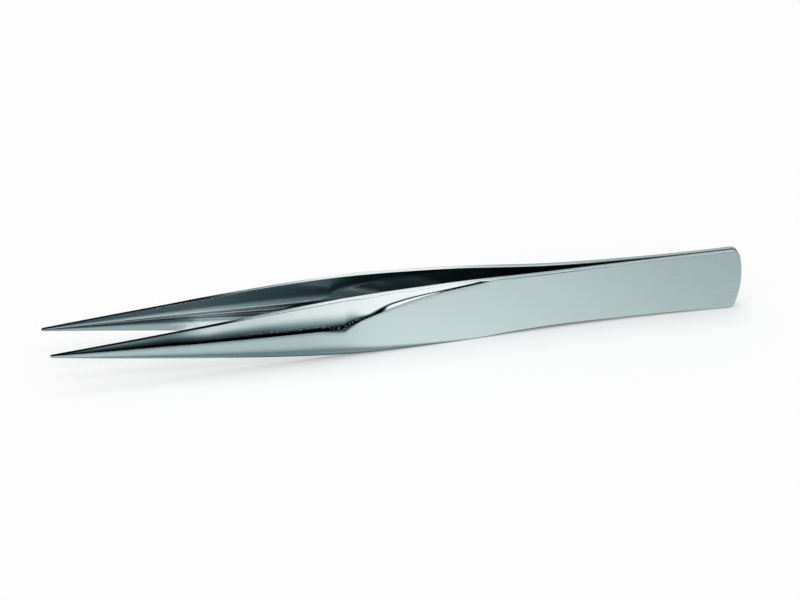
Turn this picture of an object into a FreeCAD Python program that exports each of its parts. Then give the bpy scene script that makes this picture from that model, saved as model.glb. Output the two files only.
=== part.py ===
import FreeCAD, Part
import os
import re
import Sketcher

# Pointed precision tweezers: two mirror-image strips of metal, welded face to face at the rear.
# X runs along the tool, with the rear end at +X and the points at -X. The gap opens along Y.
# Z is across the width of the arms, which stand on their lower edges at Z = 0.
# A station is a distance from the rear end. Lengths are in millimetres.

drivingSizes = {
    "overall_length": 112.0,
    "rear_width": 10.6,
    "waist_depth": 0.38,
    "waist_station": 30.0,
    "belly_rise": 0.41,
    "belly_station": 49.0,
    "belly_softness": 1.01,
    "front_taper": 0.2164,
    "tip_width": 0.45,
    "rear_crown_radius": 16.0,
    "rear_corner_radius": 1.1,
    "stock_thickness": 0.82,
    "seat_length": 6.0,
    "spring_radius": 420.0,
    "spring_station": 40.7,
    "front_radius": 706.0,
    "knee_station": 65.8,
    "knee_edge": 0.70,
    "tip_edge": 0.24,
    "bevel_slope": 0.14,
    "valley_slope": 0.115,
    "ridge_land": 0.12,
    "shoulder_station": 44.0,
    "shoulder_run": 1.05,
    "shoulder_depth": 0.32,
    "sweep_share": 0.84,
    "sweep_power": 0.65,
    "flick_power": 6.0,
    "foot_share": 0.41,
    "foot_power": 4.0,
    "steep_share": 0.60,
    "wing_slope": 0.09,
    "roll_power": 0.5,
    "roll_share": 0.5,
    "roll_height": 0.72,
    "corner_margin": 0.2,
}

kneeSteps = 8
frontSteps = 7
trimMargin = 2.0

doc = FreeCAD.newDocument("Tweezers")
sheet = doc.addObject("Spreadsheet::Sheet", "Dims")
for row, (alias, value) in enumerate(drivingSizes.items(), start=1):
    sheet.set(f"A{row}", alias)
    sheet.set(f"B{row}", str(value))
    sheet.setAlias(f"B{row}", alias)
doc.recompute()

aliasPattern = re.compile(r"\b(" + "|".join(drivingSizes) + r")\b")


def fromSheet(formula):
    """Turn the plain names of the driving sizes into references to their cells."""
    return aliasPattern.sub(r"Dims.\1", formula)


def between(first, last, share):
    return f"({first} + ({last} - {first}) * {share})"


def atStation(station):
    return f"(overall_length / 2 - {station})"


# The inner face in plan: a straight seat, an arc that opens the arms, and a reverse arc to the tip.
springRun = "(spring_station - seat_length)"
springRise = f"(spring_radius - sqrt(spring_radius^2 - {springRun}^2))"
leanSine = f"({springRun} / spring_radius)"
frontCentreX = f"(spring_station + front_radius * {leanSine})"
frontCentreY = f"({springRise} - front_radius * sqrt(1 - {leanSine}^2))"

waistWidth = "(rear_width - 2 * waist_depth)"
crownInset = "(rear_crown_radius - sqrt(rear_crown_radius^2 - rear_width^2 / 4))"


def innerFace(station):
    return f"({frontCentreY} + sqrt(front_radius^2 - ({station} - {frontCentreX})^2))"


def halfWidth(station):
    """Half the width in elevation: waist, belly and straight taper, softly joined."""
    share = f"min(1; max(0; ({station} - waist_station) / (belly_station - waist_station)))"
    handle = f"({waistWidth} + 2 * belly_rise * {share}^2 * (3 - 2 * {share}))"
    taper = f"(tip_width + front_taper * (overall_length - {station}))"
    blend = f"log(exp(-{handle} / belly_softness) + exp(-{taper} / belly_softness))"
    return f"(-belly_softness * {blend} / 2)"


# The centre line lies level, as high as the widest part of the arm needs.
centreHeight = f"max(rear_width / 2; {halfWidth('belly_station')})"


class BoundSketch:
    """A sketch on one of the body's origin planes, whose corners are bound to formulas."""

    def __init__(self, body, name, role, offset):
        self.sketch = body.newObject("Sketcher::SketchObject", name)
        plane = [feature for feature in body.Origin.OriginFeatures if feature.Role == role][0]
        self.sketch.AttachmentSupport = [(plane, "")]
        self.sketch.MapMode = "FlatFace"
        self.sketch.setExpression("AttachmentOffset.Base.z", fromSheet(offset))
        self.bound = 0

    def evaluate(self, formula):
        return float(self.sketch.evalExpression(fromSheet(formula)))

    def define(self, name, formula):
        """Keep a worked-out size on the sketch, for the formulas of its corners."""
        self.sketch.addProperty("App::PropertyFloat", name, "Section")
        setattr(self.sketch, name, self.evaluate(formula))
        self.sketch.setExpression(name, fromSheet(formula))

    def bind(self, kind, references, formula):
        name = f"size{self.bound}"
        self.bound += 1
        size = self.evaluate(formula)
        index = self.sketch.addConstraint(Sketcher.Constraint(kind, *references, size))
        self.sketch.renameConstraint(index, name)
        self.sketch.setExpression(f"Constraints.{name}", fromSheet(formula))

    def nearestEnd(self, edge, point):
        first = self.sketch.getPoint(edge, 1)
        last = self.sketch.getPoint(edge, 2)
        return 1 if first.distanceToPoint(point) < last.distanceToPoint(point) else 2

    def contour(self, corners, arcs=None):
        """Close a contour through the corners. An arc is a radius and the side that it bulges to."""
        arcs = arcs or {}
        points = [FreeCAD.Vector(self.evaluate(a), self.evaluate(u), 0) for a, u in corners]
        edges = []
        for index, start in enumerate(points):
            end = points[(index + 1) % len(points)]
            if index in arcs:
                radius, bulge = arcs[index]
                chord = end - start
                sagitta = chord.Length**2 / (8 * self.evaluate(radius))
                middle = (start + end) / 2 + FreeCAD.Vector(*bulge, 0) * sagitta
                edges.append(self.sketch.addGeometry(Part.Arc(start, middle, end)))
            else:
                edges.append(self.sketch.addGeometry(Part.LineSegment(start, end)))
        for index, (across, up) in enumerate(corners):
            before = edges[index - 1]
            after = edges[index]
            beforeEnd = self.nearestEnd(before, points[index])
            afterEnd = self.nearestEnd(after, points[index])
            joint = Sketcher.Constraint("Coincident", before, beforeEnd, after, afterEnd)
            self.sketch.addConstraint(joint)
            self.bind("DistanceX", (-1, 1, after, afterEnd), across)
            self.bind("DistanceY", (-1, 1, after, afterEnd), up)
        for index, (radius, _) in arcs.items():
            self.bind("Radius", (edges[index],), radius)


arm = doc.addObject("PartDesign::Body", "RightArm")
arm.Label = "right_arm"
doc.recompute()

# The handle in plan: a strip of constant thickness, bent to the spring arc.
plan = BoundSketch(arm, "HandlePlan", "XY_Plane", f"(-{trimMargin})")
plan.contour(
    [
        ("overall_length / 2", "0"),
        ("overall_length / 2", "stock_thickness"),
        (atStation("seat_length"), "stock_thickness"),
        (atStation("spring_station"), f"({springRise} + stock_thickness)"),
        (atStation("spring_station"), springRise),
        (atStation("seat_length"), "0"),
    ],
    {2: ("spring_radius", (0, -1)), 4: ("spring_radius", (0, -1))},
)
strip = arm.newObject("PartDesign::Pad", "HandleStrip")
strip.Profile = plan.sketch
strip.setExpression("Length", fromSheet(f"2 * {centreHeight} + 2 * {trimMargin}"))
doc.recompute()

# The handle in elevation: a crowned rear end and a slight waist, with all outside them cut away.
side = BoundSketch(arm, "HandleOutline", "XZ_Plane", str(trimMargin))
handleEnd = halfWidth("spring_station")
waistRun = f"(waist_station - {crownInset})"
rearArc = f"(({waistRun}^2 + waist_depth^2) / (2 * waist_depth))"
endRun = "(spring_station - waist_station)"
endRise = f"({handleEnd} - {waistWidth} / 2)"
bellyArc = f"(({endRun}^2 + {endRise}^2) / (2 * {endRise}))"
rearX = atStation(crownInset)
waistX = atStation("waist_station")
endX = atStation("spring_station")
pastEndX = atStation(f"(spring_station + {trimMargin})")
side.contour(
    [
        (rearX, f"({centreHeight} + rear_width / 2)"),
        (waistX, f"({centreHeight} + {waistWidth} / 2)"),
        (endX, f"({centreHeight} + {handleEnd})"),
        (pastEndX, f"({centreHeight} + {handleEnd})"),
        (pastEndX, f"({centreHeight} - {handleEnd})"),
        (endX, f"({centreHeight} - {handleEnd})"),
        (waistX, f"({centreHeight} - {waistWidth} / 2)"),
        (rearX, f"({centreHeight} - rear_width / 2)"),
    ],
    {
        0: (rearArc, (0, -1)),
        1: (bellyArc, (0, -1)),
        5: (bellyArc, (0, 1)),
        6: (rearArc, (0, 1)),
        7: ("rear_crown_radius", (1, 0)),
    },
)
frameRearX = f"(overall_length / 2 + {trimMargin})"
frameFrontX = atStation(f"(spring_station + 2 * {trimMargin})")
frameTop = f"(2 * {centreHeight} + 2 * {trimMargin})"
frameBottom = f"(-2 * {trimMargin})"
side.contour(
    [
        (frameRearX, frameBottom),
        (frameRearX, frameTop),
        (frameFrontX, frameTop),
        (frameFrontX, frameBottom),
    ]
)
trim = arm.newObject("PartDesign::Pocket", "HandleTrim")
trim.Profile = side.sketch
trim.Type = "ThroughAll"
doc.recompute()


def rearCorners(shape):
    """The two short edges across the stock at the corners of the rear end."""
    cornerX = side.evaluate(rearX)
    found = []
    for number, edge in enumerate(shape.Edges, start=1):
        ends = [vertex.Point for vertex in edge.Vertexes]
        if len(ends) == 2 and all(abs(point.x - cornerX) < 1e-4 for point in ends):
            if abs(ends[0].z - ends[1].z) < 1e-4:
                found.append(f"Edge{number}")
    return found


corners = arm.newObject("PartDesign::Fillet", "RearCorners")
corners.Base = (trim, rearCorners(trim.Shape))
corners.setExpression("Radius", fromSheet("rear_corner_radius"))
doc.recompute()

# Sections of the front half. Heights are across the tool, from the middle plane of the gap.
kneeRidge = f"({innerFace('knee_station')} + knee_edge + bevel_slope * {halfWidth('knee_station')})"
kneeValley = f"({innerFace('knee_station')} + valley_slope * {halfWidth('knee_station')})"


def addSection(name, station):
    section = BoundSketch(arm, name, "YZ_Plane", atStation(station))
    section.define("HalfWidth", halfWidth(station))
    section.define("InnerEdge", innerFace(station))
    return section


def closeSection(section, heights):
    """Run round a section: inner side downwards, outer side upwards."""
    section.contour([(across, f"({centreHeight} + {up})") for across, up in heights])
    return section.sketch


def kneeSection(name, station):
    """Flat face, with a shoulder ground into its upper side and a soft roll along its lower side."""
    section = addSection(name, station)
    share = f"(({station} - spring_station) / (knee_station - spring_station))"
    section.define("Sweep", f"(knee_station - {station}) / (knee_station - shoulder_station)")
    section.define("FlatOuter", between(f"({springRise} + stock_thickness)", kneeRidge, share))
    section.define("FlatInner", between(springRise, kneeValley, share))
    section.define("LowerEdge", f"InnerEdge + {between('stock_thickness', 'knee_edge', share)}")
    sweep = "(sweep_share * Sweep^sweep_power + (1 - sweep_share) * Sweep^flick_power)"
    section.define("Shoulder", f"HalfWidth * {sweep}")
    kneeRun = "(foot_share * HalfWidth)"
    section.define("Run", between("shoulder_run", kneeRun, "(1 - Sweep)^foot_power"))
    section.define("Foot", "Shoulder + Run")
    section.define("FlatTop", "min(Shoulder; HalfWidth - corner_margin)")
    section.define("FootTop", "min(Foot; HalfWidth - corner_margin / 2)")
    section.define("FlatBottom", "min(HalfWidth * Sweep^roll_power; HalfWidth - corner_margin)")
    rollHeight = between("LowerEdge", "FlatOuter", "roll_height")
    rollPlace = between("FlatBottom", "HalfWidth", "roll_share")
    footDrop = "shoulder_depth * min(1; max(0; FootTop - Shoulder) / Run)"
    topDrop = "shoulder_depth * min(1; max(0; HalfWidth - Shoulder) / Run)"
    return closeSection(
        section,
        [
            ("InnerEdge", "HalfWidth"),
            ("FlatInner", "min(Foot; HalfWidth - corner_margin)"),
            ("FlatInner", "(-FlatBottom)"),
            ("InnerEdge", "(-HalfWidth)"),
            ("LowerEdge", "(-HalfWidth)"),
            (rollHeight, f"(-{rollPlace})"),
            ("FlatOuter", "(-FlatBottom)"),
            ("FlatOuter", "FlatTop"),
            (f"(FlatOuter - {footDrop})", "FootTop"),
            (f"(FlatOuter - {topDrop} - wing_slope * max(0; HalfWidth - Foot))", "HalfWidth"),
        ],
    )


def frontSection(name, station):
    """Central ridge outside and valley inside, between thinning edges."""
    section = addSection(name, station)
    share = f"((overall_length - {station}) / (overall_length - knee_station))"
    section.define("OuterEdge", f"InnerEdge + {between('tip_edge', 'knee_edge', share)}")
    section.define("Ridge", "OuterEdge + bevel_slope * HalfWidth")
    section.define("Valley", "InnerEdge + valley_slope * HalfWidth")
    return closeSection(
        section,
        [
            ("InnerEdge", "HalfWidth"),
            ("Valley", "ridge_land / 2"),
            ("Valley", "(-ridge_land / 2)"),
            ("InnerEdge", "(-HalfWidth)"),
            ("OuterEdge", "(-HalfWidth)"),
            (between("OuterEdge", "Ridge", "roll_height"), "(-roll_share * HalfWidth)"),
            ("Ridge", "(-ridge_land / 2)"),
            ("Ridge", "ridge_land / 2"),
            (between("Ridge", "OuterEdge", "steep_share"), "foot_share * HalfWidth"),
            ("OuterEdge", "HalfWidth"),
        ],
    )


kneeSketches = []
for step in range(kneeSteps):
    station = between("spring_station", "knee_station", f"{step} / {kneeSteps}")
    kneeSketches.append(kneeSection(f"KneeSection{step}", station))
frontSketches = []
for step in range(frontSteps + 1):
    station = between("knee_station", "overall_length", f"{step} / {frontSteps}")
    frontSketches.append(frontSection(f"FrontSection{step}", station))


def addLoft(name, sketches):
    loft = arm.newObject("PartDesign::AdditiveLoft", name)
    loft.Profile = sketches[0]
    loft.Sections = sketches[1:]
    loft.Ruled = False
    loft.Refine = False
    doc.recompute()
    return loft


addLoft("Knee", kneeSketches + frontSketches[:1])
addLoft("Front", frontSketches)

mirrored = doc.addObject("Part::Mirroring", "LeftArm")
mirrored.Label = "left_arm"
mirrored.Source = arm
mirrored.Normal = FreeCAD.Vector(0, 1, 0)
doc.recompute()

for item in doc.Objects:
    if "Invalid" in item.State or "Error" in item.State:
        raise RuntimeError(f"{item.Name} did not build: {item.State}")
os.makedirs("parts", exist_ok=True)
for item in (arm, mirrored):
    shape = item.Shape
    if shape.isNull() or not shape.isValid() or len(shape.Solids) != 1:
        raise RuntimeError(f"{item.Label} is not one valid solid")
    box = shape.optimalBoundingBox(True, False)
    print(item.Label, "volume", round(shape.Volume, 3), "faces", len(shape.Faces))
    print("  low corner", round(box.XMin, 3), round(box.YMin, 3), round(box.ZMin, 3))
    print("  high corner", round(box.XMax, 3), round(box.YMax, 3), round(box.ZMax, 3))
    shape.exportStep(f"parts/{item.Label}.step")
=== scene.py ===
import math
import bpy
from mathutils import Matrix, Vector


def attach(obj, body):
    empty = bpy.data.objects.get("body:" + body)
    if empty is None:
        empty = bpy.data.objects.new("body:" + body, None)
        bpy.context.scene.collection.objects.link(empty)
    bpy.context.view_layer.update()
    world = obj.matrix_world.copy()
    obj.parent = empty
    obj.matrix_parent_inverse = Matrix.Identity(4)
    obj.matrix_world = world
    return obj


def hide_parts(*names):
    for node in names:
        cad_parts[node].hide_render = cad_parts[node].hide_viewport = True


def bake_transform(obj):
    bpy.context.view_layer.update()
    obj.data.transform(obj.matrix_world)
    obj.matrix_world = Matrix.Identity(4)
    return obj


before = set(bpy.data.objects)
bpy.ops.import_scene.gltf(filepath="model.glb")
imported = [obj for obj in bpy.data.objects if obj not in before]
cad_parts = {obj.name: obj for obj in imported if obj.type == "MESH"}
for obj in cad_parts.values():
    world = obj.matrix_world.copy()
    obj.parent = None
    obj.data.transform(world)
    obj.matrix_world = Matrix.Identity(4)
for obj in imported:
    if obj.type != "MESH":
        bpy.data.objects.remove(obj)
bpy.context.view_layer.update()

# Lengths in the size dictionaries are millimetres; stations run from the rear end to the points.
mm = 0.001
leastLength = 0.01  # keeps a divisor off zero


class Number:
    # a value in a node tree that can be added, multiplied and so on; each step adds a Math node
    def __init__(self, tree, socket):
        self.tree = tree
        self.socket = socket

    def math(self, operation, *others):
        node = self.tree.nodes.new("ShaderNodeMath")
        node.operation = operation
        for place, value in enumerate((self,) + others):
            if isinstance(value, Number):
                self.tree.links.new(value.socket, node.inputs[place])
            else:
                node.inputs[place].default_value = value
        return Number(self.tree, node.outputs[0])

    def __add__(self, other):
        return self.math("ADD", other)

    def __sub__(self, other):
        return self.math("SUBTRACT", other)

    def __mul__(self, other):
        return self.math("MULTIPLY", other)

    def __truediv__(self, other):
        return self.math("DIVIDE", other)

    def __pow__(self, other):
        return self.math("POWER", other)

    def __neg__(self):
        return self.math("MULTIPLY", -1.0)

    def __rsub__(self, other):
        return -self + other

    __radd__ = __add__
    __rmul__ = __mul__


def least(a, b):
    return a.math("MINIMUM", b)


def most(a, b):
    return a.math("MAXIMUM", b)


def clamped(a):
    return most(least(a, 1.0), 0.0)


def root(a):
    return most(a, 0.0).math("SQRT")


def between(first, last, share):
    return share * (last - first) + first


def smooth(a, start, end):
    share = clamped((a - start) / (end - start))
    return share * share * (3.0 - share * 2.0)


def softLeast(a, b, softness):
    # the lower of two values, rounded where they cross
    spread = (a - b).math("ABSOLUTE") / softness
    return least(a, b) - ((-spread).math("EXPONENT") + 1.0).math("LOGARITHM", math.e) * softness


# the arms

arm = {
    "length": 112.0,
    "rearWidth": 10.6,
    "waistDepth": 0.38,
    "waistStation": 30.0,
    "bellyRise": 0.4065,
    "bellyStation": 49.0,
    "bellySoftness": 1.01,
    "frontTaper": 0.2164,
    "tipWidth": 0.45,
    "tipRound": 0.3,
    "tipFloor": 0.02,
    "frontSpacing": 1.2,
    "crownRadius": 16.0,
    "crownRun": 11.0,
    "cornerRadius": 1.0,
    "stock": 0.8045,
    "seatLength": 6.0,
    "springRadius": 420.0,
    "springStation": 40.7,
    "springBlend": 0.5,
    "frontRadius": 706.0,
    "kneeStation": 65.8,
    "kneeBlend": 2.0,
    "kneeEdge": 0.6845,
    "tipEdge": 0.24,
    "bevelSlope": 0.14,
    "valleySlope": 0.115,
    "ridgeLand": 0.06,
    "ridgeSoftLength": 1.15,
    "ridgeSoftShare": 0.42,
    "ridgeSoftSlope": 0.165,
    "kneeDip": 0.48,
    "plateSoftness": 0.05,
    "shoulderStation": 40.7,
    "sweepPower": 0.66,
    "sweepSwell": 4.5,
    "bandShare": 0.14,
    "bandSlope": 0.11,
    "kneeBand": 0.60,
    "stepBand": 0.62,
    "rearBand": 0.24,
    "stepSlope": 0.42,
    "bandRound": 0.001,
    "stepRound": 0.085,
    "footFillet": 0.010,
    "footFilletShare": 0.08,
    "lateStepSlope": 0.29,
    "curlSlope": 0.09,
    "frontCurlSlope": 0.125,
    "kneeCurl": 3.3,
    "frontCurl": 1.9,
    "curlShare": 0.72,
    "stepCurl": 0.30,
    "rearWingSlope": 0.045,
    "wingSlope": 0.10,
    "tipWingSlope": 0.155,
    "rollPower": 0.5,
    "rollSharpness": 4.8,
    "innerKnee": 66.3,
    "innerStart": 42.0,
    "innerPower": 0.47,
    "stripShare": 0.32,
    "lowerFoldPower": 1.4,
    "foldShare": 0.96,
    "hollowPower": 3.0,
    "stripTilt": 0.22,
    "creaseSoftness": 0.03,
    "edgeRound": 0.24,
    "rearEdgeRound": 0.10,
    "frontEdgeRound": 0.05,
    "roundShare": 0.3,
    "edgeDepth": 0.08,
    "frontEdgeDepth": 0.048,
    "depthShare": 0.35,
    "roundDepthShare": 0.5,
    "handleMargin": 0.4,
    "frontMargin": 0.04,
    "footLift": 0.0035,
    "polishEdge": 0.08,
    "ridgeFleckHeight": 0.72,
    "ridgeFleckWidth": 0.24,
    "stepFleckHeight": 0.03,
    "stepFleckWidth": 0.09,
    "outerGrain": 20.0,
    "sideGrain": 50.0,
}

# where a form of the arm starts and ends its smooth change, in stations
armSteps = {
    "margin": (35.7, 41.7),
    "handleEdge": (38.0, 46.0),
    "rearEdge": (19.0, 31.0),
    "kneeDipStart": (62.8, 65.8),
    "kneeDipEnd": (65.8, 70.5),
    "frontCurl": (76.0, 90.0),
    "frontCurlSlope": (72.0, 86.0),
    "wingSlope": (52.0, 79.0),
    "tipWingSlope": (87.0, 94.5),
    "hollow": (66.0, 75.0),
}

# the same along the sweep, which is 0 at the knee and 1 where the shoulder meets the top edge
sweepSteps = {
    "kneeBand": (0.0, 0.10),
    "stepBand": (0.10, 0.24),
    "rearBand": (0.24, 0.65),
    "step": (0.14, 0.31),
    "lateStep": (0.54, 0.72),
    "stepCurl": (0.0, 0.19),
    "ridgeSoft": (0.0, 0.16),
    "stepFleck": (0.04, 0.16),
}

# how many faces each stretch of rows and of stations has
armRows = {"bottomEdge": 5, "roll": 16, "flat": 8, "shoulder": 16, "wing": 12, "topEdge": 5}
armStations = {"corner": 14, "handle": 30, "knee": 96, "front": 90, "tip": 8}


def shareOf(count, counts, key):
    # how far a running number has come through one named stretch, from 0 to 1
    start = 0
    for name, steps in counts.items():
        if name == key:
            return clamped((count - float(start)) / float(steps))
        start += steps


def makeArmTree():
    tree = bpy.data.node_groups.new("tweezerArm", "GeometryNodeTree")
    sockets = tree.interface
    sockets.new_socket("Geometry", in_out="OUTPUT", socket_type="NodeSocketGeometry")
    for name, size in arm.items():
        sockets.new_socket(name, in_out="INPUT", socket_type="NodeSocketFloat").default_value = size
    sockets.new_socket("side", in_out="INPUT", socket_type="NodeSocketFloat").default_value = 1.0
    sockets.new_socket("finish", in_out="INPUT", socket_type="NodeSocketMaterial")
    given = tree.nodes.new("NodeGroupInput")
    size = {name: Number(tree, given.outputs[name]) for name in list(arm) + ["side"]}
    quarter = math.pi / 2

    # a box of quads, two sheets of rows by stations, is bent into an arm
    rowCount = sum(armRows.values())
    stationCount = sum(armStations.values())
    box = tree.nodes.new("GeometryNodeMeshCube")
    box.inputs["Vertices X"].default_value = stationCount + 1
    box.inputs["Vertices Y"].default_value = 2
    box.inputs["Vertices Z"].default_value = rowCount + 1
    where = tree.nodes.new("GeometryNodeInputPosition")
    parts = tree.nodes.new("ShaderNodeSeparateXYZ")
    tree.links.new(where.outputs[0], parts.inputs[0])
    column = ((0.5 - Number(tree, parts.outputs["X"])) * float(stationCount)).math("ROUND")
    outer = (Number(tree, parts.outputs["Y"]) + 0.5).math("ROUND")
    row = ((Number(tree, parts.outputs["Z"]) + 0.5) * float(rowCount)).math("ROUND")

    # stations
    cornerShare = shareOf(column, armStations, "corner")
    tipShare = (shareOf(column, armStations, "tip") * quarter).math("SINE")
    tipStart = size["length"] - size["tipRound"]
    handleRun = size["springStation"] - size["cornerRadius"]
    kneeRun = size["kneeStation"] - size["springStation"]
    frontShare = shareOf(column, armStations, "front") ** size["frontSpacing"]
    station = (1.0 - (cornerShare * quarter).math("COSINE")) * size["cornerRadius"]
    station = station + shareOf(column, armStations, "handle") * handleRun
    station = station + shareOf(column, armStations, "knee") * kneeRun
    station = station + frontShare * (tipStart - size["kneeStation"])
    station = station + tipShare * size["tipRound"]
    tipFade = root(most(1.0 - tipShare * tipShare, size["tipFloor"]))

    def fromStation(name):
        return smooth(station, *armSteps[name])

    # the inner edges in plan: a seat, a spring arc and a front arc that bends back
    springRun = size["springStation"] - size["seatLength"]
    lean = springRun / size["springRadius"]

    def springFace(run):
        radius = size["springRadius"]
        return run * run / (root(radius * radius - run * run) + radius)

    def frontFace(run):
        radius = size["frontRadius"]
        start = radius * lean
        left = start - run
        middle = root(radius * radius - start * start) + root(radius * radius - left * left)
        return run * (start + left) / middle

    springRise = springFace(springRun)
    onSpring = most(least(station, size["springStation"]) - size["seatLength"], 0.0)
    innerEdge = springFace(onSpring) + frontFace(most(station - size["springStation"], 0.0))

    # the half width in elevation
    waist = size["rearWidth"] - size["waistDepth"] * 2.0

    def frontHalf(place):
        rise = smooth(place, size["waistStation"], size["bellyStation"])
        handle = waist + size["bellyRise"] * 2.0 * rise
        taper = size["tipWidth"] + size["frontTaper"] * (size["length"] - place)
        return softLeast(handle, taper, size["bellySoftness"]) * 0.5

    backShare = clamped(1.0 - station / size["waistStation"])
    sideHalf = (frontHalf(station) + size["waistDepth"] * backShare * backShare) * tipFade
    halfWidth = sideHalf - size["cornerRadius"] * (1.0 - (cornerShare * quarter).math("SINE"))

    # lines that run along the outer face
    sweep = most((size["kneeStation"] - station) / (size["kneeStation"] - size["shoulderStation"]), 0.0)
    near = least(sweep, 1.0)
    swell = near * near * (1.0 - near) ** 3.0 * size["sweepSwell"]
    sweepLine = sweep ** size["sweepPower"] * (swell + 1.0)
    land = size["ridgeLand"] * tipFade
    kneeDip = fromStation("kneeDipStart") * (1.0 - fromStation("kneeDipEnd")) * size["kneeDip"]
    shoulder = most(halfWidth * sweepLine, land) - kneeDip

    def fromSweep(name):
        return smooth(sweep, *sweepSteps[name])

    band = between(size["bandShare"] * halfWidth, size["kneeBand"], fromSweep("kneeBand"))
    band = between(band, size["stepBand"], fromSweep("stepBand"))
    band = between(band, size["rearBand"], fromSweep("rearBand"))
    band = band + kneeDip
    foot = shoulder + band

    # thickness and edge rounding
    frontRun = size["length"] - size["kneeStation"]
    toTip = clamped((size["length"] - station) / frontRun)
    kneeShare = (station - size["springStation"]) / kneeRun
    frontEdge = between(size["tipEdge"] * tipFade, size["kneeEdge"], toTip)
    kneeStart = size["kneeStation"] - size["kneeBlend"]
    pastKnee = smooth(station, kneeStart, size["kneeStation"] + size["kneeBlend"])
    edge = between(size["stock"], size["kneeEdge"], clamped(kneeShare))
    edge = between(edge, frontEdge, pastKnee)
    onHandle = 1.0 - fromStation("handleEdge")
    rounding = between(size["frontEdgeRound"], size["edgeRound"], onHandle)
    rounding = least(rounding, halfWidth * size["roundShare"])
    rounding = between(size["rearEdgeRound"], rounding, fromStation("rearEdge"))
    roundDepth = between(size["frontEdgeDepth"], size["edgeDepth"], onHandle)
    roundDepth = least(least(roundDepth, edge * size["depthShare"]), rounding * size["roundDepthShare"])
    faceEdge = halfWidth - rounding
    margin = (1.0 - fromStation("margin")) * size["handleMargin"] + size["frontMargin"] * tipFade
    rollTop = most(halfWidth * near ** size["rollPower"], land + kneeDip)
    footTop = least(foot, faceEdge - margin)
    flatTop = least(shoulder, faceEdge - margin * 2.0)
    flatBottom = least(rollTop, faceEdge - margin * 2.0)

    # rows: those of the outer sheet follow its lines, and those of the inner sheet are even
    rowBottom = (shareOf(row, armRows, "bottomEdge") * quarter).math("COSINE")
    rowTop = (shareOf(row, armRows, "topEdge") * quarter).math("SINE")
    outerUp = -halfWidth + rounding * (1.0 - rowBottom)
    innerUp = outerUp + rounding * rowTop
    outerUp = innerUp + shareOf(row, armRows, "roll") * (faceEdge - flatBottom)
    outerUp = outerUp + shareOf(row, armRows, "flat") * (flatBottom + flatTop)
    outerUp = outerUp + shareOf(row, armRows, "shoulder") * (footTop - flatTop)
    outerUp = outerUp + shareOf(row, armRows, "wing") * (faceEdge - footTop)
    evenRows = rowCount - armRows["bottomEdge"] - armRows["topEdge"]
    even = clamped((row - float(armRows["bottomEdge"])) / float(evenRows))
    innerUp = innerUp + even * faceEdge * 2.0
    up = between(innerUp, outerUp, outer)
    above = most(up, 0.0)
    below = most(-up, 0.0)

    # the edge rounding goes by the distance from the outline
    corner = size["cornerRadius"]
    fromSide = most(above + below - (sideHalf - corner), 0.0)
    fromRear = most(corner - station, 0.0)
    inset = corner - root(fromSide * fromSide + fromRear * fromRear)
    overEdge = least(most(rounding - inset, 0.0), rounding)
    edgeFall = roundDepth * (1.0 - root(1.0 - (overEdge / rounding) ** 2.0))

    # the outer face starts from the plate of the handle and the line of the ridge
    kneeHalf = frontHalf(size["kneeStation"])
    kneeInner = springRise + frontFace(kneeRun)
    kneeOuter = kneeInner + size["kneeEdge"] + size["bevelSlope"] * kneeHalf
    plateLine = between(springRise + size["stock"], kneeOuter, kneeShare)
    edgeGrowth = (size["kneeEdge"] - size["tipEdge"]) / frontRun
    ridgeLine = innerEdge + frontEdge + size["bevelSlope"] * halfWidth
    ridgeLine = ridgeLine + most(size["kneeStation"] - station, 0.0) * edgeGrowth
    springStart = size["springStation"] - size["springBlend"]
    pastSpring = smooth(station, springStart, size["springStation"] + size["springBlend"])
    plate = softLeast(plateLine, ridgeLine, size["plateSoftness"])
    face = between(innerEdge + size["stock"], plate, pastSpring)

    # a narrow steep band falls away above the shoulder line, and ends in a soft foot
    pastShoulder = most(up - shoulder, 0.0)
    onStep = fromSweep("step")
    bandSlope = between(size["bandSlope"], size["stepSlope"], onStep)
    bandSlope = between(bandSlope, size["lateStepSlope"], fromSweep("lateStep"))
    roundness = size["stepRound"] * onStep + size["bandRound"]
    ramp = root(pastShoulder * pastShoulder + roundness * roundness) - roundness
    fillet = size["footFillet"] + band * size["footFilletShare"]
    bandFall = softLeast(ramp, band, fillet) * bandSlope

    # the wing above it is hollow near the ridge and then slopes evenly to the top edge
    curlLength = between(size["kneeCurl"], size["frontCurl"], fromStation("frontCurl"))
    curlLength = least(curlLength, halfWidth * size["curlShare"])
    curlLength = between(curlLength, size["stepCurl"], fromSweep("stepCurl")) + leastLength
    onCurl = least(most(pastShoulder - kneeDip, 0.0) / curlLength, 1.0)
    curlSlope = between(size["curlSlope"], size["frontCurlSlope"], fromStation("frontCurlSlope"))
    curlFall = curlSlope * curlLength * onCurl * (1.0 - onCurl * onCurl * (1.0 - onCurl * 0.5))
    wingStart, wingEnd = armSteps["wingSlope"]
    wingShare = clamped((station - wingStart) / (wingEnd - wingStart))
    wingSlope = between(size["rearWingSlope"], size["wingSlope"], wingShare)
    wingFall = pastShoulder * between(wingSlope, size["tipWingSlope"], fromStation("tipWingSlope"))

    # below, the plate rolls in to the bottom edge, and at the ridge it turns softly
    onRoll = clamped((below - flatBottom) / (halfWidth - flatBottom))
    rollFall = most(face - innerEdge - edge, 0.0) * onRoll ** size["rollSharpness"]
    softLength = least(size["ridgeSoftLength"], halfWidth * size["ridgeSoftShare"])
    toRidge = 1.0 - clamped((shoulder - up) / softLength)
    ridgeDrop = size["ridgeSoftSlope"] * softLength / 3.0
    ridgeFall = ridgeDrop * toRidge ** 3.0 * (1.0 - fromSweep("ridgeSoft"))
    outerFace = face - bandFall - curlFall - wingFall - rollFall - ridgeFall

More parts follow.
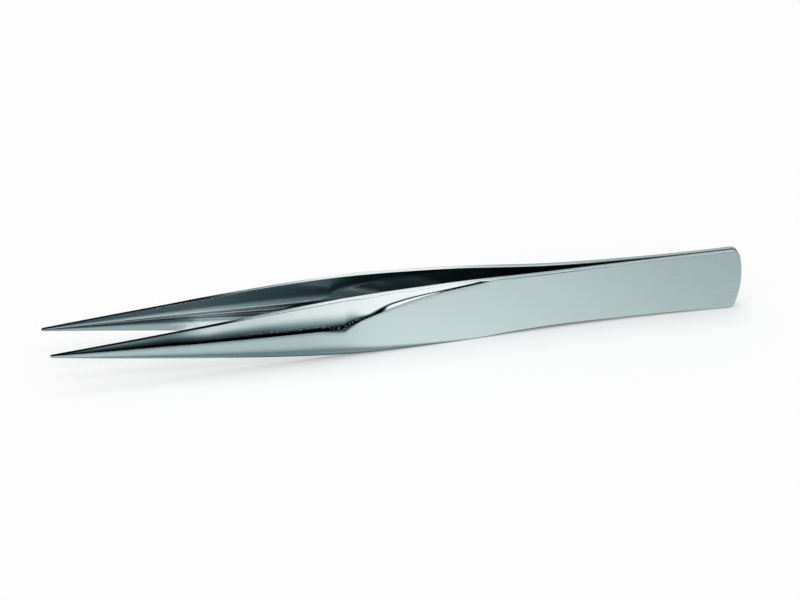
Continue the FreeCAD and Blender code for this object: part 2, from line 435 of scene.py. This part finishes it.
    # the inner face: flat to the fold lines, which close to one crease ahead of the knee
    innerLine = between(springRise, kneeInner + size["valleySlope"] * kneeHalf, kneeShare)
    valleyLine = innerEdge + size["valleySlope"] * halfWidth
    innerFlat = between(innerEdge, softLeast(innerLine, valleyLine, size["plateSoftness"]), pastSpring)
    fold = clamped((size["innerKnee"] - station) / (size["innerKnee"] - size["innerStart"]))
    foldLimit = halfWidth * size["foldShare"]
    foldTop = least(halfWidth * between(size["stripShare"], 1.0, fold ** size["innerPower"]), foldLimit)
    foldBottom = least(halfWidth * fold ** size["lowerFoldPower"], foldLimit)
    sinkTop = (halfWidth - up) / (halfWidth - foldTop)
    sinkBottom = most((halfWidth + up) / (halfWidth - foldBottom), 0.0)
    sinkBottom = between(sinkBottom, sinkBottom ** size["hollowPower"], fromStation("hollow"))
    bed = 1.0 + size["stripTilt"] * clamped(1.0 - up / most(foldTop, leastLength))
    sink = softLeast(softLeast(sinkTop, sinkBottom, size["creaseSoftness"]), bed, size["creaseSoftness"])
    innerFace = innerEdge + (innerFlat - innerEdge) * most(sink, 0.0)

    # places in the row frame
    deep = between(innerFace + edgeFall, outerFace - edgeFall, outer)
    crown = size["crownRadius"]
    bulge = up * up / (root(crown * crown - up * up) + crown)
    crownEnd = size["cornerRadius"] + size["crownRun"]
    along = station + bulge * (1.0 - smooth(station, size["cornerRadius"], crownEnd))
    place = tree.nodes.new("ShaderNodeCombineXYZ")
    middle = most(size["rearWidth"] * 0.5, frontHalf(size["bellyStation"])) + size["footLift"]
    tree.links.new(((size["length"] * 0.5 - along) * mm).socket, place.inputs["X"])
    tree.links.new((deep * size["side"] * mm).socket, place.inputs["Y"])
    tree.links.new(((middle + up) * mm).socket, place.inputs["Z"])

    def store(geometry, name, number, kind="FLOAT"):
        node = tree.nodes.new("GeometryNodeStoreNamedAttribute")
        node.data_type = kind
        node.domain = "POINT"
        node.inputs["Name"].default_value = name
        tree.links.new(geometry, node.inputs["Geometry"])
        tree.links.new(number, node.inputs["Value"])
        return node.outputs["Geometry"]

    # marks for the finish; each face of each arm has a grain of its own
    grain = tree.nodes.new("ShaderNodeCombineXYZ")
    layer = outer * size["outerGrain"] + size["side"] * size["sideGrain"]
    tree.links.new(along.socket, grain.inputs["X"])
    tree.links.new(up.socket, grain.inputs["Y"])
    tree.links.new(layer.socket, grain.inputs["Z"])
    fleckHeight = between(size["ridgeFleckHeight"], size["stepFleckHeight"], fromSweep("stepFleck"))
    fleckWidth = between(size["ridgeFleckWidth"], size["stepFleckWidth"], fromSweep("stepFleck"))
    offArris = (up - shoulder - fleckHeight) / fleckWidth
    result = box.outputs["Mesh"]
    result = store(result, "polish", (clamped((up - shoulder) / size["polishEdge"]) * outer).socket)
    result = store(result, "inside", (1.0 - outer).socket)
    result = store(result, "rim", (overEdge / rounding).socket)
    result = store(result, "arris", ((-(offArris * offArris)).math("EXPONENT") * outer).socket)
    result = store(result, "inset", least(inset, 1.0).socket)
    result = store(result, "grain", grain.outputs[0], "FLOAT_VECTOR")

    bend = tree.nodes.new("GeometryNodeSetPosition")
    tree.links.new(result, bend.inputs["Geometry"])
    tree.links.new(place.outputs[0], bend.inputs["Position"])
    flip = tree.nodes.new("GeometryNodeFlipFaces")
    tree.links.new(bend.outputs["Geometry"], flip.inputs["Mesh"])
    tree.links.new(size["side"].math("LESS_THAN", 0.0).socket, flip.inputs["Selection"])
    shade = tree.nodes.new("GeometryNodeSetShadeSmooth")
    tree.links.new(flip.outputs["Mesh"], shade.inputs["Geometry"])
    realize = tree.nodes.new("GeometryNodeRealizeInstances")
    tree.links.new(shade.outputs["Geometry"], realize.inputs["Geometry"])
    paint = tree.nodes.new("GeometryNodeSetMaterial")
    tree.links.new(realize.outputs["Geometry"], paint.inputs["Geometry"])
    tree.links.new(given.outputs["finish"], paint.inputs["Material"])
    end = tree.nodes.new("NodeGroupOutput")
    tree.links.new(paint.outputs["Geometry"], end.inputs[0])
    return tree


# the finish

plating = {
    "rearSatin": (0.470, 0.580, 0.575),
    "bellySatin": (0.740, 0.855, 0.842),
    "frontSatin": (0.545, 0.662, 0.657),
    "polished": (0.95, 0.975, 0.965),
    "inside": (0.55, 0.60, 0.61),
    "rim": (0.44, 0.53, 0.535),
    "kneeRim": (0.84, 0.88, 0.875),
    # the colour of the painted shade on the inner facet at the points
    "tipFacetShade": (0.315, 0.375, 0.395),
    "satinRoughness": 0.31,
    "polishedRoughness": 0.07,
    "insideRoughness": 0.10,
    "rimRoughness": 0.28,
    "rearRimRoughness": 0.42,
    "frontRimRoughness": 0.09,
    "mottleRoughness": 0.08,
    "markRoughness": 0.30,
    "slantDegrees": 24.0,
    "crossShade": 0.010,
    "scratchTone": 0.16,
    "slantTone": 0.20,
    "brushTone": 0.12,
    "streaks": 0.45,
    "rearStreaks": 0.9,
    "insideStreaks": 0.22,
    "mottleTone": 0.10,
    "pitTone": 0.28,
    # painted shade of the rims towards the points
    "frontRimShade": 0.135,
    "rearRimTone": 0.84,
    "kneeRimTone": 0.97,
    "rimSpeckTone": 1.1,
    # the painted highlight under the inner crease
    "glintTone": 1.42,
    # painted shade at the knee and painted light at the point, on the lower edge of the outer face
    "kneeEdgeShadeTone": 0.54,
    "tipEdgeLightTone": 1.40,
    "seamTone": 0.10,
    "facetRagged": 9.0,
    # the colour of the painted shade line along the top edge near the points
    "edgeShadeLine": (0.012, 0.014, 0.017),
    "edgeShadeWidth": 0.28,
    "edgeShadeLead": 1.5,
    "nickStrength": 0.8,
    "arrisFleck": (0.62, 0.66, 0.70),
    "wornStrength": 0.42,
    "speckShare": 0.6,
    "brushDepth": 0.0000016,  # metres
    "polishCalm": 0.9,
    "markHeight": 6.0,
    "pitDepth": 0.8,
}

# scale along and up the arm, detail and roughness of each noise
patterns = {
    "brush": ((0.09, 16.0, 1.0), 4.0, 0.65),
    "scratches": ((0.16, 4.6, 1.0), 3.0, 0.7),
    "slanting": ((0.22, 3.4, 1.0), 3.0, 0.7),
    "mottle": ((0.5, 0.9, 1.0), 4.0, 0.6),
    "specks": ((5.0, 5.0, 1.0), 2.0, 0.5),
    "flecks": ((2.0, 9.0, 1.0), 2.0, 0.5),
}
pitScale = (0.55, 0.75, 1.0)

# where the finish starts and ends a change, in stations
finishSteps = {
    "bellySatin": (-6.0, 60.0),
    "slanting": (6.0, 26.0),
    "seam": (16.0, 34.0),
    "rimRoughness": (19.0, 31.0),
    "kneeRim": (38.0, 50.0),
    "worn": (40.0, 50.0),
    "kneeEdgeShade": (44.0, 56.0),
    "frontRimRoughness": (50.0, 74.0),
    "frontSatin": (58.0, 74.0),
    "wornEnd": (78.0, 92.0),
    "tipEdgeLight": (78.0, 90.0),
    "glint": (78.0, 84.0),
    "nicks": (79.0, 85.0),
    "edgeShadeLine": (79.5, 85.5),
    "frontRimShade": (81.0, 87.0),
    "paintedFacetShade": (86.0, 92.0),
    "nicksEnd": (92.0, 97.0),
}

# the same for heights, distances from the outline, levels of a pattern and shares of a width
markSteps = {
    "lowFacet": (-0.30, -0.08),
    "paintedLowEdgeHeight": (-0.60, -0.20),
    "paintedLowEdgeInset": (0.10, 0.65),
    "top": (0.0, 0.15),
    "rim": (0.2, 0.7),
    "seamInside": (0.70, 0.92),
    "pitSize": (0.02, 0.07),
    "pitPlaces": (0.50, 0.58),
    "fleckPlaces": (0.555, 0.64),
    "nickPlaces": (0.52, 0.58),
    "edgeShadeInset": (0.55, 1.0),
    "nicksInset": (0.8, 1.0),
    "nicksInsetEnd": (1.2, 1.7),
}


def makePlating():
    material = bpy.data.materials.new("nickelPlate")
    material.use_nodes = True
    tree = material.node_tree
    shader = tree.nodes["Principled BSDF"]
    shader.inputs["Metallic"].default_value = 1.0

    def attribute(name, output="Fac"):
        node = tree.nodes.new("ShaderNodeAttribute")
        node.attribute_name = name
        return node.outputs[output]

    def stretched(scale, turn=0.0):
        node = tree.nodes.new("ShaderNodeMapping")
        node.inputs["Scale"].default_value = scale
        node.inputs["Rotation"].default_value = (0.0, 0.0, turn)
        tree.links.new(attribute("grain", "Vector"), node.inputs["Vector"])
        return node.outputs[0]

    def noise(name, turn=0.0):
        scale, detail, roughness = patterns[name]
        node = tree.nodes.new("ShaderNodeTexNoise")
        node.inputs["Scale"].default_value = 1.0
        node.inputs["Detail"].default_value = detail
        node.inputs["Roughness"].default_value = roughness
        tree.links.new(stretched(scale, turn), node.inputs["Vector"])
        return Number(tree, node.outputs["Fac"])

    def mixed(factor, first, last):
        node = tree.nodes.new("ShaderNodeMix")
        node.data_type = "RGBA"
        tree.links.new(factor.socket, node.inputs[0])
        for place, value in ((6, first), (7, last)):  # the two colour sockets
            if isinstance(value, tuple):
                node.inputs[place].default_value = (*value, 1.0)
            else:
                tree.links.new(value, node.inputs[place])
        return node.outputs[2]

    parts = tree.nodes.new("ShaderNodeSeparateXYZ")
    tree.links.new(attribute("grain", "Vector"), parts.inputs[0])
    station = Number(tree, parts.outputs["X"])
    up = Number(tree, parts.outputs["Y"])
    polish = Number(tree, attribute("polish"))
    inside = Number(tree, attribute("inside"))
    outside = 1.0 - inside
    inset = Number(tree, attribute("inset"))

    def marked(measure, name):
        return smooth(measure, *markSteps[name])

    def fromStation(name):
        return smooth(station, *finishSteps[name])

    rim = marked(Number(tree, attribute("rim")), "rim")
    smoothFace = most(polish, inside)
    satinFace = 1.0 - smoothFace
    atRear = 1.0 - fromStation("slanting")

    # long fine brush lines, crossed by slanting ones near the rear, and soft blotches
    brush = noise("brush")
    scratches = noise("scratches")
    slanting = noise("slanting", math.radians(plating["slantDegrees"]))
    mottle = noise("mottle")
    specks = noise("specks")
    streaks = (scratches - 0.5) * plating["scratchTone"]
    streaks = streaks + (slanting - 0.5) * plating["slantTone"] * atRear
    streaks = streaks + (brush - 0.5) * plating["brushTone"]

    # small pits in the satin face
    cells = tree.nodes.new("ShaderNodeTexVoronoi")
    cells.inputs["Scale"].default_value = 1.0
    tree.links.new(stretched(pitScale), cells.inputs["Vector"])
    pit = 1.0 - marked(Number(tree, cells.outputs["Distance"]), "pitSize")
    pit = pit * marked(mottle, "pitPlaces") * satinFace

    # the tone of the faces, which their colour is multiplied by
    # painted shade: each face is a little darker towards its top
    tone = 1.0 - up * plating["crossShade"]
    tone = tone * (1.0 + streaks * (plating["streaks"] + atRear * plating["rearStreaks"]))
    tone = tone * (1.0 - pit * plating["pitTone"])
    insideTone = 1.0 + (scratches - 0.5) * plating["insideStreaks"] * inside
    tone = between(tone, insideTone, smoothFace)
    tone = tone * (1.0 + (mottle - 0.5) * plating["mottleTone"])

    # painted light and shade on the lower edge of the outer face: painted shade darkens it at the knee, and
    # painted light brightens it at the point
    paintedLowEdge = (1.0 - marked(inset, "paintedLowEdgeInset")) * (1.0 - marked(up, "paintedLowEdgeHeight")) * outside
    lowEdgeLightAndShade = between(1.0, plating["kneeEdgeShadeTone"], fromStation("kneeEdgeShade"))
    lowEdgeLightAndShade = between(lowEdgeLightAndShade, plating["tipEdgeLightTone"], fromStation("tipEdgeLight"))
    tone = tone * between(1.0, lowEdgeLightAndShade, paintedLowEdge)

    # under the crease of the inner face, a painted highlight and then painted shade on the facet of the
    # point
    lowFacet = inside * (1.0 - marked(up, "lowFacet"))
    ragged = station + (mottle - 0.5) * plating["facetRagged"]
    paintedFacetShade = lowFacet * smooth(ragged, *finishSteps["paintedFacetShade"])
    glint = lowFacet * fromStation("glint") * (1.0 - paintedFacetShade)
    tone = tone * between(1.0, plating["glintTone"], glint)

    # the rims of the edges: mottled to the rear and dark in the seam; towards the points they are darkened
    # by painted shade, a dark reflection painted into the colour
    rimTone = between(plating["rearRimTone"], plating["kneeRimTone"], fromStation("kneeRim"))
    rimTone = rimTone + (specks - 0.5) * plating["rimSpeckTone"]
    rimTone = between(rimTone, plating["frontRimShade"], fromStation("frontRimShade"))
    seam = marked(inside, "seamInside") * (1.0 - fromStation("seam"))
    rimTone = between(rimTone, plating["seamTone"], seam)

    # the arris of the ridge and shoulder is worn into rough flecks that catch the light
    arris = Number(tree, attribute("arris"))
    speckShare = plating["speckShare"]
    flecks = marked(specks * speckShare + noise("flecks") * (1.0 - speckShare), "fleckPlaces")
    worn = arris * flecks * fromStation("worn") * (1.0 - fromStation("wornEnd"))

    def scaled(colour, amount):
        tint = tree.nodes.new("ShaderNodeVectorMath")
        tint.operation = "SCALE"
        if isinstance(colour, tuple):
            tint.inputs[0].default_value = colour
        else:
            tree.links.new(colour, tint.inputs[0])
        tree.links.new(amount.socket, tint.inputs["Scale"])
        return tint.outputs[0]

    colour = mixed(fromStation("bellySatin"), plating["rearSatin"], plating["bellySatin"])
    colour = mixed(fromStation("frontSatin"), colour, plating["frontSatin"])
    colour = mixed(polish, colour, plating["polished"])
    colour = mixed(inside, colour, plating["inside"])
    # painted shade on the inner facet at the points
    colour = mixed(paintedFacetShade, colour, plating["tipFacetShade"])
    colour = scaled(colour, tone)
    rimColour = mixed(fromStation("kneeRim"), plating["rim"], plating["kneeRim"])
    colour = mixed(rim, colour, scaled(rimColour, rimTone))
    colour = mixed(worn * plating["wornStrength"], colour, plating["arrisFleck"])

    # a dark line of painted shade, a dark reflection painted into the colour, runs along the top edge near
    # the points, with bright nicks under it
    onTop = marked(up, "top")
    fromTop = inset / plating["edgeShadeWidth"]
    edgeShadeLine = (1.0 - marked(fromTop, "edgeShadeInset")) * onTop
    edgeShadeLine = edgeShadeLine * smooth(station - inside * plating["edgeShadeLead"], *finishSteps["edgeShadeLine"])
    colour = mixed(edgeShadeLine, colour, plating["edgeShadeLine"])
    nicks = marked(fromTop, "nicksInset") * (1.0 - marked(fromTop, "nicksInsetEnd")) * onTop * inside
    nicks = nicks * marked(specks, "nickPlaces") * fromStation("nicks") * (1.0 - fromStation("nicksEnd"))
    colour = mixed(nicks * plating["nickStrength"], colour, plating["arrisFleck"])
    tree.links.new(colour, shader.inputs["Base Color"])

    marks = worn + nicks
    roughness = between(plating["satinRoughness"], plating["polishedRoughness"], polish)
    roughness = between(roughness, plating["insideRoughness"], inside)
    rimRoughness = between(plating["rearRimRoughness"], plating["rimRoughness"], fromStation("rimRoughness"))
    toFront = fromStation("frontRimRoughness")
    rimRoughness = between(rimRoughness, plating["frontRimRoughness"], toFront)
    roughness = between(roughness, rimRoughness, rim)
    roughness = roughness + (mottle - 0.5) * plating["mottleRoughness"] * satinFace
    roughness = roughness + marks * plating["markRoughness"]
    tree.links.new(roughness.socket, shader.inputs["Roughness"])

    bump = tree.nodes.new("ShaderNodeBump")
    bump.inputs["Strength"].default_value = 1.0
    bump.inputs["Distance"].default_value = plating["brushDepth"]
    height = brush * (1.0 - smoothFace * plating["polishCalm"]) + scratches * atRear * satinFace
    height = height + marks * specks * plating["markHeight"] - pit * plating["pitDepth"]
    tree.links.new(height.socket, bump.inputs["Height"])
    tree.links.new(bump.outputs[0], shader.inputs["Normal"])
    return material


def makeArm(name, side, tree, finish):
    holder = bpy.data.objects.new(name, bpy.data.meshes.new(name))
    bpy.context.scene.collection.objects.link(holder)
    modifier = holder.modifiers.new("arm", "NODES")
    modifier.node_group = tree
    inputs = {item.name: item.identifier for item in tree.interface.items_tree if item.in_out == "INPUT"}
    for key, size in arm.items():
        modifier[inputs[key]] = size
    modifier[inputs["side"]] = side
    modifier[inputs["finish"]] = finish
    bpy.context.view_layer.update()
    made = bpy.data.meshes.new_from_object(holder.evaluated_get(bpy.context.evaluated_depsgraph_get()))
    made.name = name
    holder.modifiers.remove(modifier)
    holder.data = made
    return holder


finish = makePlating()
armTree = makeArmTree()
rightArm = makeArm("rightArm", 1.0, armTree, finish)
leftArm = makeArm("leftArm", -1.0, armTree, finish)
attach(rightArm, "right_arm")
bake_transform(leftArm)
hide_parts("right_arm")
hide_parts("left_arm")
for piece in (rightArm, leftArm):
    print(piece.name, len(piece.data.polygons), "faces")


# the studio; its lengths are metres

studio = {
    "reach": 3.0,
    "floorColour": (0.80, 0.80, 0.80),
    "floorRoughness": 0.9,
    "floorLift": 0.18,
    "skyForDiffuse": 0.55,
    "softboxPower": 5.5,
    "softboxSize": 1.1,
    "softboxHeight": 0.9,
}


def makeCard(name, corners, shader, faces=None):
    mesh = bpy.data.meshes.new(name)
    mesh.from_pydata(corners, [], faces or [tuple(range(len(corners)))])
    card = bpy.data.objects.new(name, mesh)
    bpy.context.scene.collection.objects.link(card)
    card.data.materials.append(shader)
    return card


def seenPlainly(tree):
    # 1 for rays from the camera, off the metal or through glass, and 0 for soft light
    light = tree.nodes.new("ShaderNodeLightPath")
    seen = most(Number(tree, light.outputs["Is Camera Ray"]), Number(tree, light.outputs["Is Glossy Ray"]))
    return most(seen, Number(tree, light.outputs["Is Transmission Ray"]))


def makeFloorMaterial():
    # a white table that keeps the shadow; seen directly or in the metal it is lifted to white
    material = bpy.data.materials.new("whiteTable")
    material.use_nodes = True
    tree = material.node_tree
    shader = tree.nodes["Principled BSDF"]
    shader.inputs["Base Color"].default_value = (*studio["floorColour"], 1.0)
    shader.inputs["Roughness"].default_value = studio["floorRoughness"]
    shader.inputs["Specular IOR Level"].default_value = 0.0
    shader.inputs["Emission Color"].default_value = (1.0, 1.0, 1.0, 1.0)
    lift = seenPlainly(tree) * studio["floorLift"]
    tree.links.new(lift.socket, shader.inputs["Emission Strength"])
    return material


def makeWorld():
    world = bpy.data.worlds.new("whiteStudio")
    world.use_nodes = True
    tree = world.node_tree
    strength = between(studio["skyForDiffuse"], 1.0, seenPlainly(tree))
    back = tree.nodes["Background"]
    back.inputs["Color"].default_value = (1.0, 1.0, 1.0, 1.0)
    tree.links.new(strength.socket, back.inputs["Strength"])
    bpy.context.scene.world = world


def onlyForReflections(card):
    card.visible_camera = False
    card.visible_diffuse = False
    card.visible_shadow = False
    card.visible_transmission = False


reach = studio["reach"]
tableCorners = [(-reach, -reach, 0), (reach, -reach, 0), (reach, reach, 0), (-reach, reach, 0)]
table = makeCard("table", tableCorners, makeFloorMaterial())
table.visible_glossy = False
makeWorld()

# dark filters, seen in the metal alone: a band round the horizon, a disc below, one flag behind,
# and a painted shadow of the strip of table between the arms; each shade is a list of places and how dark it
# is there
flags = {
    "distance": 1.0,
    "bandLow": -0.65,
    "bandHigh": 0.34,
    "bandShade": (
        (-0.60, 0.0), (-0.50, 0.04), (-0.445, 0.12), (-0.40, 0.25), (-0.37, 0.40), (-0.34, 0.56),
        (-0.30, 0.74), (-0.25, 0.88), (-0.20, 0.955), (-0.12, 0.985), (-0.05, 1.0), (0.18, 1.0),
        (0.232, 0.20), (0.33, 0.0),
    ),
    "discDepth": -1.0,
    "discRadius": 1.40,
    "discShade": (
        (0.0, 0.62), (0.42, 0.66), (0.68, 0.86), (0.84, 0.86), (1.02, 0.66), (1.14, 0.34), (1.30, 0.0),
    ),
    "sides": 96,
    "redShare": 0.64,
    "blueShare": 1.10,
    "sectorDegrees": 17.0,
    "sectorFull": 0.30,  # radians to each side, as the next one
    "sectorEnd": 0.60,
    "otherShade": 0.55,
    "farShade": ((-0.90, 1.0), (0.06, 1.0), (0.15, 0.0)),
    "farLow": 0.30,
    "farHigh": 1.75,
    "farBehind": 0.4,
    "gapShade": (
        (-0.030, 0.0), (-0.021, 0.42), (-0.013, 0.64), (-0.004, 0.92), (0.006, 0.97), (0.056, 0.95),
    ),
    "gapEdge": ((-0.030, 0.0043), (-0.010, 0.0039), (0.0, 0.0032), (0.016, 0.0021), (0.050, 0.0006)),
    "gapDrop": 0.0004,
}


def makeFlagMaterial(name, shades, measured):
    # a filter, darkest where the shade is 1, and a little bluer as it darkens
    material = bpy.data.materials.new(name)
    material.use_nodes = True
    tree = material.node_tree
    tree.nodes.clear()
    where = tree.nodes.new("ShaderNodeTexCoord")
    parts = tree.nodes.new("ShaderNodeSeparateXYZ")
    tree.links.new(where.outputs["Object"], parts.inputs[0])
    across, deep, height = (Number(tree, parts.outputs[axis]) for axis in "XYZ")
    radius = root(across * across + deep * deep)
    measure = {"height": height, "radius": radius, "across": across}[measured]
    low = shades[0][0]
    high = shades[-1][0]
    ramp = tree.nodes.new("ShaderNodeValToRGB")
    tree.links.new(((measure - low) / (high - low)).socket, ramp.inputs[0])
    stops = ramp.color_ramp.elements
    while len(stops) < len(shades):
        stops.new(0.5)
    for stop, (position, shade) in zip(stops, shades):
        stop.position = (position - low) / (high - low)
        stop.color = (1.0 - shade, 1.0 - shade, 1.0 - shade, 1.0)
    passed = Number(tree, ramp.outputs[0])
    if measured == "height":
        # full shade only over the sector in front of the near arm, and a lighter one all round
        turn = math.radians(flags["sectorDegrees"])
        facing = (across * math.sin(turn) - deep * math.cos(turn)) / radius
        inSector = smooth(facing, math.cos(flags["sectorEnd"]), math.cos(flags["sectorFull"]))
        passed = 1.0 - (1.0 - passed) * between(flags["otherShade"], 1.0, inSector)
    colour = tree.nodes.new("ShaderNodeCombineColor")
    red = passed * between(flags["redShare"], 1.0, passed)
    blue = passed * between(flags["blueShare"], 1.0, passed)
    for place, amount in enumerate((red, passed, blue)):
        tree.links.new(amount.socket, colour.inputs[place])
    clear = tree.nodes.new("ShaderNodeBsdfTransparent")
    tree.links.new(colour.outputs[0], clear.inputs["Color"])
    out = tree.nodes.new("ShaderNodeOutputMaterial")
    tree.links.new(clear.outputs[0], out.inputs["Surface"])
    return material


def makeFlags():
    count = flags["sides"]
    turns = [2 * math.pi * place / count for place in range(count)]
    ring = [(flags["distance"] * math.cos(turn), flags["distance"] * math.sin(turn)) for turn in turns]
    faces = [(a, (a + 1) % count, (a + 1) % count + count, a + count) for a in range(count)]
    shader = makeFlagMaterial("horizonFlag", flags["bandShade"], "height")
    points = [(x, y, flags["bandLow"]) for x, y in ring] + [(x, y, flags["bandHigh"]) for x, y in ring]
    onlyForReflections(makeCard("horizonFlag", points, shader, faces))

    shader = makeFlagMaterial("lowerFlag", flags["discShade"], "radius")
    edge = flags["discRadius"]
    disc = [(edge * math.cos(turn), edge * math.sin(turn), flags["discDepth"]) for turn in turns]
    onlyForReflections(makeCard("lowerFlag", disc, shader))

    # a flag behind, for the top edges that slope down to the points
    shader = makeFlagMaterial("farFlag", flags["farShade"], "across")
    points = [(x, y, flags["farLow"]) for x, y in ring] + [(x, y, flags["farHigh"]) for x, y in ring]
    behind = [face for face in faces if min(ring[face[0]][1], ring[face[1]][1]) > flags["farBehind"]]
    onlyForReflections(makeCard("farFlag", points, shader, behind))

    # painted shadow: a dark card for the shaded strip of table between the arms
    shader = makeFlagMaterial("gapShadowFlag", flags["gapShade"], "across")
    near = [(x, -y, -flags["gapDrop"]) for x, y in flags["gapEdge"]]
    far = [(x, y, -flags["gapDrop"]) for x, y in reversed(flags["gapEdge"])]
    onlyForReflections(makeCard("gapShadowFlag", near + far, shader))


makeFlags()

softbox = bpy.data.lights.new("softbox", "AREA")
softbox.shape = "SQUARE"
softbox.size = studio["softboxSize"]
softbox.energy = studio["softboxPower"]
softboxObject = bpy.data.objects.new("softbox", softbox)
softboxObject.location = (0.0, 0.0, studio["softboxHeight"])
bpy.context.scene.collection.objects.link(softboxObject)
print("studio ready")


# the camera; its lengths are millimetres again

view = {
    "azimuth": -16.1425,
    "elevation": 32.0,
    "roll": -3.2434,
    "lens": 187.52,
    "sensor": 36.0,
    "clipStart": 10.0,
    "distance": 650.75,
    "slideRight": 0.0137,
    "slideUp": -1.3849,
    "target": (0.0, 0.0, 5.313),
}


def makeCamera():
    azimuth = math.radians(view["azimuth"])
    elevation = math.radians(view["elevation"])
    roll = math.radians(view["roll"])
    back = Vector((
        math.sin(azimuth) * math.cos(elevation),
        -math.cos(azimuth) * math.cos(elevation),
        math.sin(elevation),
    ))
    right = Vector((math.cos(azimuth), math.sin(azimuth), 0.0))
    up = back.cross(right)
    place = Vector(view["target"]) + back * view["distance"]
    place = (place - right * view["slideRight"] - up * view["slideUp"]) * mm
    turnedRight = right * math.cos(roll) - up * math.sin(roll)
    turnedUp = right * math.sin(roll) + up * math.cos(roll)
    lens = bpy.data.cameras.new("camera")
    lens.lens = view["lens"]
    lens.sensor_width = view["sensor"]
    lens.sensor_fit = "HORIZONTAL"
    lens.clip_start = view["clipStart"] * mm
    camera = bpy.data.objects.new("camera", lens)
    turn = Matrix((turnedRight, turnedUp, back)).transposed()
    camera.matrix_world = Matrix.Translation(place) @ turn.to_4x4()
    bpy.context.scene.collection.objects.link(camera)
    bpy.context.scene.camera = camera


makeCamera()
bpy.context.scene.view_settings.view_transform = "Standard"
print("camera ready")
